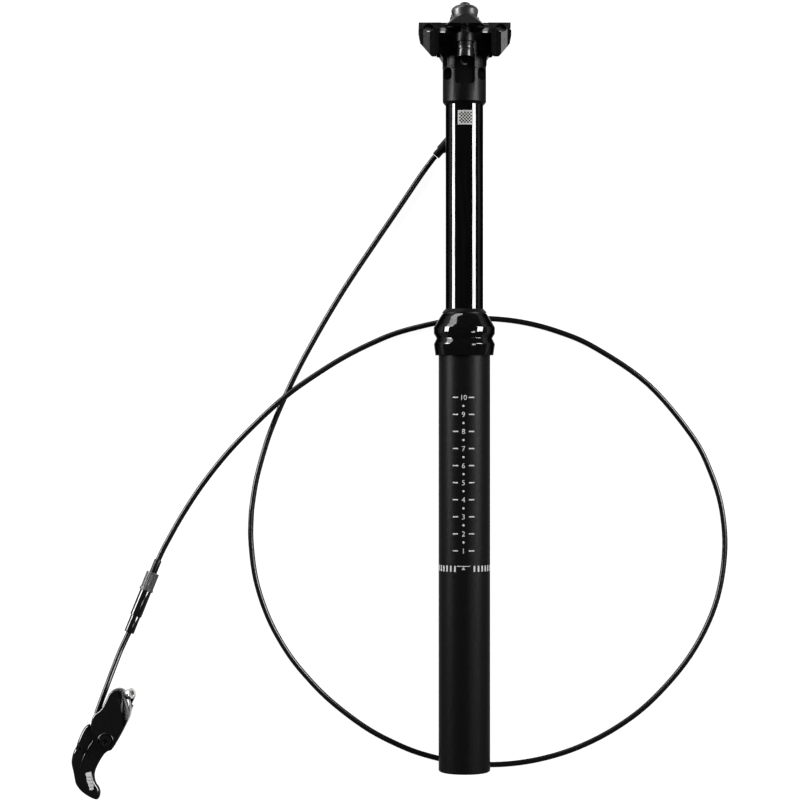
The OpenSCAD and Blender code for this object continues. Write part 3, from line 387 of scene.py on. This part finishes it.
def add_hose(name, points, body):
    """Housing along its route; without a body it stays unattached between the two tubes of the post."""
    path = smooth_path(points)
    obj = tube(name, path, HOSE_R, HOSE_SIDES, MATERIALS["housing"])
    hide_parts(name.replace("_skin", ""))
    if body:
        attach(obj, body)
    else:
        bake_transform(obj)


def add_wire(name, points):
    """Bare wire between two bodies, attached to neither."""
    path = smooth_path(points)
    obj = tube(name + "_skin", path, WIRE_R, WIRE_SIDES, MATERIALS["steel"])
    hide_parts(name)
    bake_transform(obj)


# Print on the two tubes, in millimetres round the tube and along it

TUBE_R = 15.8
STANCHION_R = 11.55
PRINT_LIFT = 0.03
# Width of a flat bit of print, and the folds in a digit on each side of its middle
FLAT = 0.4
FOLDS = 12
# Height of a digit over the size of its font
CAP_SHARE = 0.7
# Numbers with a tick on each side and a dot between them
PRINT_X = -1.0
NUMBERS = 10
NUMBER_TOP = 228.03
NUMBER_STEP = 10.333
DIGIT_H = 3.1
TICK_IN = 3.3
TICK_OUT = 6.7
TICK_HALF = 0.36
DOT_R = 0.68
# Line and triangle of the depth mark
MARK_Y = 125.7
MARK_HALF = 4.0
LINE_HALF = 0.2
TIP_DROP = 0.4
FOOT_DROP = 2.2
FOOT_HALF = 1.15
# Ring of bars beside the depth mark
BARS = 32
BAR_FIRST = math.radians(21) * TUBE_R
BAR_PITCH = math.radians(10.2) * TUBE_R
BAR_HALF = 0.55
BAR_DROP = 3.4
# Plain chequered patch on the sliding tube
CELL = 0.97
COLS = 10
ROWS = 9
LABEL_LEFT = -4.4
LABEL_TOP = 402.4


def wrap(x, y, radius):
    """Print coordinates to a point just off the face of a tube."""
    a = x / radius
    r = radius + PRINT_LIFT
    return Vector((r * math.sin(a), y, r * math.cos(a))) * MM


def add_print():
    """Height scale on the outer tube."""
    verts, faces = [], []

    def patch(spots, spot_faces):
        base = len(verts)
        verts.extend(wrap(x, y, TUBE_R) for x, y in spots)
        faces.extend(tuple(base + i for i in f) for f in spot_faces)

    def bar(x0, x1, y0, y1):
        n = max(1, int(abs(x1 - x0) / FLAT))
        spots = [(x0 + (x1 - x0) * i / n, y) for i in range(n + 1) for y in (y0, y1)]
        patch(spots, [(2 * i, 2 * i + 2, 2 * i + 3, 2 * i + 1) for i in range(n)])

    def disc(x, y, r, n=16):
        turns = [2 * math.pi * k / n for k in range(n)]
        rim = [(x + r * math.cos(a), y + r * math.sin(a)) for a in turns]
        patch([(x, y)] + rim, [(0, 1 + k, 1 + (k + 1) % n) for k in range(n)])

    def digits(text, x, y, height):
        curve = bpy.data.curves.new("digits", "FONT")
        curve.body = text
        curve.size = height / CAP_SHARE
        curve.align_x = "CENTER"
        curve.resolution_u = 3
        obj = bpy.data.objects.new("digits", curve)
        bpy.context.collection.objects.link(obj)
        bpy.context.view_layer.update()
        flat = obj.evaluated_get(bpy.context.evaluated_depsgraph_get()).to_mesh()
        bm = bmesh.new()
        bm.from_mesh(flat)
        for k in range(-FOLDS, FOLDS + 1):
            geom = bm.verts[:] + bm.edges[:] + bm.faces[:]
            bmesh.ops.bisect_plane(bm, geom=geom, plane_co=(FLAT * k, 0, 0), plane_no=(1, 0, 0))
        bm.verts.index_update()
        spots = [(x + v.co.x, y - height / 2 + v.co.y) for v in bm.verts]
        patch(spots, [[v.index for v in f.verts] for f in bm.faces])
        bm.free()
        bpy.data.objects.remove(obj)
        bpy.data.curves.remove(curve)

    for i in range(NUMBERS):
        y = NUMBER_TOP - NUMBER_STEP * i
        digits(str(NUMBERS - i), PRINT_X, y, DIGIT_H)
        for s in (-1, 1):
            bar(PRINT_X + s * TICK_IN, PRINT_X + s * TICK_OUT, y - TICK_HALF, y + TICK_HALF)
        if i < NUMBERS - 1:
            disc(PRINT_X, y - NUMBER_STEP / 2, DOT_R)
    bar(PRINT_X - MARK_HALF, PRINT_X + MARK_HALF, MARK_Y - LINE_HALF, MARK_Y + LINE_HALF)
    tip = (PRINT_X, MARK_Y - TIP_DROP)
    feet = [(PRINT_X + s * FOOT_HALF, MARK_Y - FOOT_DROP) for s in (-1, 1)]
    patch([tip] + feet, [(0, 1, 2)])
    for k in range(BARS):
        x = BAR_FIRST + k * BAR_PITCH
        bar(x - BAR_HALF, x + BAR_HALF, MARK_Y - BAR_DROP, MARK_Y + LINE_HALF)
    obj = add_mesh("height_scale", verts, faces, INK)
    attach(obj, "lower")


def add_label():
    """Plain chequered patch at the top of the sliding tube."""
    verts, faces = [], []
    for row in range(ROWS):
        for col in range(COLS):
            if (row + col) % 2 == 0 or row in (0, ROWS - 1) or col in (0, COLS - 1):
                x = LABEL_LEFT + col * CELL
                y = LABEL_TOP - row * CELL
                base = len(verts)
                for dx, dy in ((0, 0), (CELL, 0), (CELL, -CELL), (0, -CELL)):
                    verts.append(wrap(x + dx, y + dy, STANCHION_R))
                faces.append((base, base + 1, base + 2, base + 3))
    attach(add_mesh("plain_label", verts, faces, LABEL), "upper")


# Small forms at the saddle head, in millimetres

# Seat and direction of the front clamp bolt in y and z, mirrored in z for the rear one
BOLT_SEAT = (457.945, 11.03)
BOLT_WAY = (-0.9848, 0.1736)
# Thread ridge: start along the bolt, rise of a turn, radius of its path and of the ridge itself
THREAD_TURNS = 3
TURN_POINTS = 20
THREAD_START = -9.3
THREAD_PITCH = 0.62
THREAD_R = 2.9
RIDGE_R = 0.2
RIDGE_SIDES = 8
# Wedges on the wings: inner edge, width, and the heights of both faces at inner edge and full width
WING_OUTLINE = [(18.2, 433.6), (20.1, 433.6), (21.45, 435.2), (21.45, 448.3), (20, 448.9), (18.7, 450.4),
                (18.2, 450.4)]
WING_INNER = 18.2
WING_WIDTH = 3.3
WING_HEIGHTS = [(21.7, 22.0), (20.45, 21.95)]
WING_SHARP = 15


def add_threads():
    """Thread ridges on the ends of the two clamp bolts that stand above the barrel nuts."""
    for name, s in (("front", 1), ("rear", -1)):
        axis = Vector((0, BOLT_WAY[0], BOLT_WAY[1] * s))
        u = Vector((1, 0, 0))
        w = axis.cross(u)
        seat = Vector((0, BOLT_SEAT[0], BOLT_SEAT[1] * s))
        path = []
        for k in range(THREAD_TURNS * TURN_POINTS + 1):
            a = 2 * math.pi * k / TURN_POINTS
            along = axis * (THREAD_START + THREAD_PITCH * k / TURN_POINTS)
            path.append((seat + along + (u * math.cos(a) + w * math.sin(a)) * THREAD_R) * MM)
        ridge = tube(f"{name}_bolt_thread", path, RIDGE_R * MM, RIDGE_SIDES, MATERIALS["black_steel"])
        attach(ridge, "upper")


def add_wing_faces():
    """Nearly flat inner faces of the cradle's two wings, as wedges on the tilted facets."""
    verts, faces = [], []
    n = len(WING_OUTLINE)
    for s in (-1, 1):
        base = len(verts)
        for inner, outer in WING_HEIGHTS:
            for x, y in WING_OUTLINE:
                z = inner + (outer - inner) * (x - WING_INNER) / WING_WIDTH
                verts.append(Vector((s * x, y, z)) * MM)
        faces += [tuple(base + i for i in f) for f in ring_faces(len(WING_HEIGHTS), n)]
    # The wedges share the cradle's copy with painted shade
    wedges = add_mesh("wing_faces", verts, faces, MATERIALS["cradle_black_groove_shade"], sharp=WING_SHARP)
    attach(wedges, "rail_clamp")


# Smooth skins of the remote, in millimetres

POD_OUTLINE = [(-220.6, 38.6), (-217.4, 44.6), (-215, 50), (-209.8, 52), (-205.4, 49.6), (-203.4, 44),
               (-202.4, 38.6), (-203.2, 33.5), (-213, 15.6), (-214.6, 14.2), (-216.6, 14),
               (-218.4, 15.2), (-221.3, 19.7), (-224.3, 23.6), (-226.8, 26.9),
               (-226.2, 31.8), (-224.9, 36.2)]
SPINE_OUTLINE = POD_OUTLINE[:8] + [(-208.8, 23.4), (-210.4, 28.4), (-226.7, 28.4)] + POD_OUTLINE[-2:]
LEVER_OUTLINE = [(-227.2, 27), (-227.4, 30.4), (-230.6, 28.3), (-232.5, 24.8), (-234.1, 21.1), (-235, 18.6),
                 (-235.5, 16.4), (-237.4, 13.3), (-238.6, 8.2), (-238.4, 4.9), (-237.4, 1.2),
                 (-236.3, -5.3), (-235.5, -7.2), (-232.7, -10.9), (-228.1, -14.1),
                 (-224, -15.9), (-222.2, -15.6), (-221.1, -13.2), (-221.2, -10),
                 (-222.3, -7.9), (-223.6, -6.2), (-224.3, -4.4), (-224.8, -1.1), (-224.1, 2.2),
                 (-222.4, 5.8), (-220.2, 9.6), (-218, 12.6), (-214.4, 14.6), (-211.2, 18),
                 (-211.2, 22.4), (-214.4, 25.8), (-219, 26.6)]
PADDLE_OUTLINE = [(-236.2, 4.4), (-235.6, 1), (-234.4, -5), (-233.6, -6.6), (-231.2, -9.6), (-227.2, -12.4),
                  (-224.6, -13.5), (-224, -11.2), (-224.4, -9.4), (-226, -7.2), (-226.8, -4.4),
                  (-227.2, -0.8), (-226.6, 2.6), (-225.8, 4.4)]
POD_CREASE = [(-208.9, 46.4, 17.3), (-210.2, 40.5, 17.3), (-211.3, 35.4, 17.3)]
LEVER_CREASE = [(-225.2, 20, 14.85), (-229.3, 13.3, 14.85), (-231.2, 9, 14.85), (-232.8, 3.6, 14.85)]
# Raised ring round the pivot
PIVOT = (-217.4, 20.2)
BOSS_R = 4.5
BOSS_Z = 17.4
BOSS_POINTS = 24
# Point on the pod's slope in metres, and the direction that the slope faces
SLOPE_AT = Vector((-208.5, 40, 17.6)) * MM
SLOPE_UP = Vector((0.4028, 0.0566, 0.9135))
# Point on the pod bolt, its direction, and how far behind the point its opening starts
POD_BOLT_AT = Vector((-201.4, 49.2, 16.6))
POD_BOLT_WAY = Vector((0.7504, 0.2731, 0.6018))
POD_BOLT_BACK = 3.8
# Rounds of corner cutting, and the shares of the two ends of a side in each cut
CORNER_ROUNDS = 3
NEAR = 0.75
FAR = 0.25
# Steps of a rounded rim, and the width of the flat strip inside it
RIM_STEPS = 5
STRIP = 0.25
# Share of an inset that a point has to keep from the outline, less an allowance for rounding
INSET_SHARE = 0.97
INSET_SLACK = 1e-9
ROD_SIDES = 32
BEAD_SIDES = 10
# Least angle in degrees of a sharp edge on a carved piece, which leaves the slope's crease soft
CARVE_SHARP = 32


def rounded(points):
    """Closed outline with its corners cut to a smooth line, in metres."""
    pts = [Vector((x, y, 0)) * MM for x, y in points]
    for _ in range(CORNER_ROUNDS):
        sides = zip(pts, pts[1:] + pts[:1])
        pts = [q for a, b in sides for q in (a * NEAR + b * FAR, a * FAR + b * NEAR)]
    return pts


def inset(pts, d):
    """The outline moved inwards by d, with the spots that would fold over drawn straight."""
    n = len(pts)
    area = sum(a.x * b.y - b.x * a.y for a, b in zip(pts, pts[1:] + pts[:1]))
    way = d if area > 0 else -d
    tree = KDTree(n)
    moved = []
    for i, q in enumerate(pts):
        tree.insert(q, i)
        t = (pts[(i + 1) % n] - pts[i - 1]).normalized()
        moved.append(q + Vector((-t.y, t.x, 0)) * way)
    tree.balance()
    good = [i for i in range(n) if tree.find(moved[i])[2] >= INSET_SHARE * d - INSET_SLACK]
    for a, b in zip(good, good[1:] + [good[0] + n]):
        for k in range(a + 1, b):
            moved[k % n] = moved[a].lerp(moved[b % n], (k - a) / (b - a))
    return moved


def prism(name, points, lo, hi, round_hi, round_lo):
    """Glossy prism on a smooth outline with rounded rims."""
    base = rounded(points)
    arc = [math.pi / 2 * k / RIM_STEPS for k in range(RIM_STEPS + 1)]
    rings = [(round_lo + STRIP, lo)]
    rings += [(round_lo * (1 - math.sin(a)), lo + round_lo * (1 - math.cos(a))) for a in arc]
    rings += [(round_hi * (1 - math.sin(a)), hi - round_hi * (1 - math.cos(a))) for a in reversed(arc)]
    rings += [(round_hi + STRIP, hi)]
    verts = []
    for d, z in rings:
        verts += [Vector((q.x, q.y, z * MM)) for q in inset(base, d * MM)]
    return add_mesh(name, verts, ring_faces(len(rings), len(base)), MATERIALS["gloss_plastic"])


def rod(name, at, way, radius, length):
    """Plain round cutter from a point along a direction."""
    a = Vector(at) * MM
    b = a + Vector(way).normalized() * length * MM
    return tube(name, [a, b], radius * MM, ROD_SIDES, MATERIALS["alloy_black"])


def bead(name, points, radius):
    """Thin raised line along points."""
    return tube(name, smooth_path(points), radius * MM, BEAD_SIDES, MATERIALS["gloss_plastic"])


def carve(obj, *cutters):
    """Take the cutters out of a piece and drop them."""
    for c in cutters:
        m = obj.modifiers.new("carve", "BOOLEAN")
        m.operation = "DIFFERENCE"
        m.solver = "EXACT"
        m.object = c
    bpy.context.view_layer.update()
    done = bpy.data.meshes.new_from_object(obj.evaluated_get(bpy.context.evaluated_depsgraph_get()))
    obj.modifiers.clear()
    obj.data = done
    for c in cutters:
        bpy.data.objects.remove(c)
    done.shade_smooth()
    done.set_sharp_from_angle(angle=math.radians(CARVE_SHARP))


def slope(obj):
    """Cut the raised side of the pod along its slope and close the cut."""
    bm = bmesh.new()
    bm.from_mesh(obj.data)
    geom = bm.verts[:] + bm.edges[:] + bm.faces[:]
    cut = bmesh.ops.bisect_plane(bm, geom=geom, plane_co=SLOPE_AT, plane_no=SLOPE_UP, clear_outer=True)
    rim = [g for g in cut["geom_cut"] if isinstance(g, bmesh.types.BMEdge)]
    bmesh.ops.holes_fill(bm, edges=rim, sides=0)
    bm.to_mesh(obj.data)
    bm.free()


def join(name, objs):
    """One piece from several meshes."""
    bm = bmesh.new()
    for o in objs:
        bm.from_mesh(o.data)
    mesh = objs[0].data
    bm.to_mesh(mesh)
    bm.free()
    for o in objs[1:]:
        bpy.data.objects.remove(o)
    objs[0].name = name
    return objs[0]


def add_remote():
    """Skins of the lever pod and the thumb lever."""
    top = prism("pod_top", POD_OUTLINE, lo=15.4, hi=17.6, round_hi=1.3, round_lo=0.3)
    spine = prism("pod_spine", SPINE_OUTLINE, lo=7.0, hi=17.55, round_hi=1.3, round_lo=0.8)
    foot = prism("pod_foot", POD_OUTLINE, lo=7.0, hi=9.2, round_hi=0.3, round_lo=0.9)
    hose_way = Vector(LEVER_PTS[-2]) - Vector(LEVER_PTS[-1])
    bolt_from = POD_BOLT_AT - POD_BOLT_WAY * POD_BOLT_BACK
    for o in (top, spine):
        slope(o)
        bolt_cut = rod("bolt_cut", bolt_from, POD_BOLT_WAY, radius=3.3, length=20)
        hose_cut = rod("hose_cut", LEVER_PTS[-1], hose_way, radius=1.78, length=14)
        carve(o, bolt_cut, hose_cut)
    turns = [2 * math.pi * k / BOSS_POINTS for k in range(BOSS_POINTS)]
    ring = [(PIVOT[0] + BOSS_R * math.cos(a), PIVOT[1] + BOSS_R * math.sin(a), BOSS_Z) for a in turns]
    crease = bead("pod_crease", POD_CREASE, radius=0.55)
    boss = bead("pod_boss", ring + ring[:1], radius=0.5)
    pod = join("lever_pod_skin", [top, spine, foot, crease, boss])
    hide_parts("lever_pod")
    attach(pod, "lower")

    body = prism("lever_body", LEVER_OUTLINE, lo=9.5, hi=15.1, round_hi=1.9, round_lo=1.0)
    pad = prism("lever_pad", PADDLE_OUTLINE, lo=4.0, hi=14.0, round_hi=0.5, round_lo=1.6)
    crease = bead("lever_crease", LEVER_CREASE, radius=0.5)
    lever = join("thumb_lever_skin", [body, pad, crease])
    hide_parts("thumb_lever")
    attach(lever, "lever")


add_camera()
add_floor()
add_light()
dress_nodes()
add_hose("hose_head_skin", HEAD_PTS, None)
add_hose("hose_loop_skin", LOOP_PTS, "lower")
add_hose("hose_lever_skin", LEVER_PTS, "lower")
add_wire("head_wire", HEAD_WIRE_PTS)
add_wire("lever_wire", LEVER_WIRE_PTS)
add_remote()
add_print()
add_label()
add_threads()
add_wing_faces()
